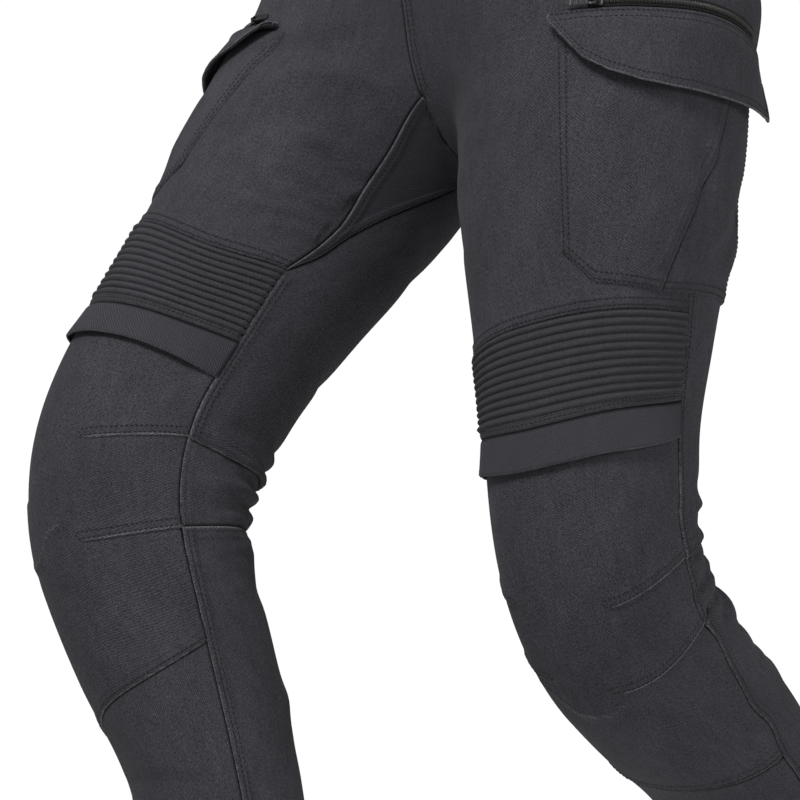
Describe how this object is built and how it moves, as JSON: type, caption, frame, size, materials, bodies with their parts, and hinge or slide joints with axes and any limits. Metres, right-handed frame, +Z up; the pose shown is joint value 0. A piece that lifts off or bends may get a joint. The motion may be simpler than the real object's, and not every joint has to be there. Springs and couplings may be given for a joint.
{
  "type": "riding trousers",
  "caption": "Worn stretch-twill riding trousers in a long stride, with ribbed panels over the knees, laid bands, cargo pockets with flaps, a crotch gusset and zips.",
  "frame": {"origin": "centre of the waist opening, at the waistband's top edge", "axes": "+Z up, the front faces -Y, the wearer's left leg is at +X"},
  "size_m": [0.4128, 0.6267, 0.9521],
  "materials": {
    "charcoal_twill": "matte twill",
    "ribbed_stretch": "matte ribbed twill",
    "gusset_twill": "matte twill",
    "zip_tape": "woven tape",
    "gunmetal": "dark satin metal"
  },
  "bodies": {
    "trousers": {"front_thigh_left": "charcoal_twill", "back_thigh_left": "charcoal_twill", "rib_panel_left": "ribbed_stretch", "knee_panel_left": "charcoal_twill", "back_knee_left": "charcoal_twill", "back_calf_left": "charcoal_twill", "shin_panel_left": "charcoal_twill", "knee_band_left": "charcoal_twill", "pocket_front_left": "charcoal_twill", "pocket_rear_left": "charcoal_twill", "pocket_flap_left": "charcoal_twill", "zip_tape_left": "zip_tape", "zip_slider_left": "gunmetal", "front_thigh_right": "charcoal_twill", "back_thigh_right": "charcoal_twill", "rib_panel_right": "ribbed_stretch", "knee_panel_right": "charcoal_twill", "back_knee_right": "charcoal_twill", "back_calf_right": "charcoal_twill", "shin_panel_right": "charcoal_twill", "knee_band_right": "charcoal_twill", "pocket_front_right": "charcoal_twill", "pocket_rear_right": "charcoal_twill", "pocket_flap_right": "charcoal_twill", "zip_tape_right": "zip_tape", "zip_slider_right": "gunmetal", "crotch_gusset": "gusset_twill", "waistband": "charcoal_twill"},
    "pull_left": {"zip_pull_left": "gunmetal"},
    "pull_right": {"zip_pull_right": "gunmetal"}
  },
  "joints": [
    {"name": "pull_hinge_left", "type": "hinge", "parent": "trousers", "child": "pull_left", "pos_m": [0.16309, -0.05785, -0.16431], "axis": [-0.1056, 0.0603, 0.9926], "range_deg": [0, 150]},
    {"name": "pull_hinge_right", "type": "hinge", "parent": "trousers", "child": "pull_right", "pos_m": [-0.12786, -0.09542, -0.15884], "axis": [-0.1388, -0.5624, -0.8151], "range_deg": [0, 150]}
  ]
}
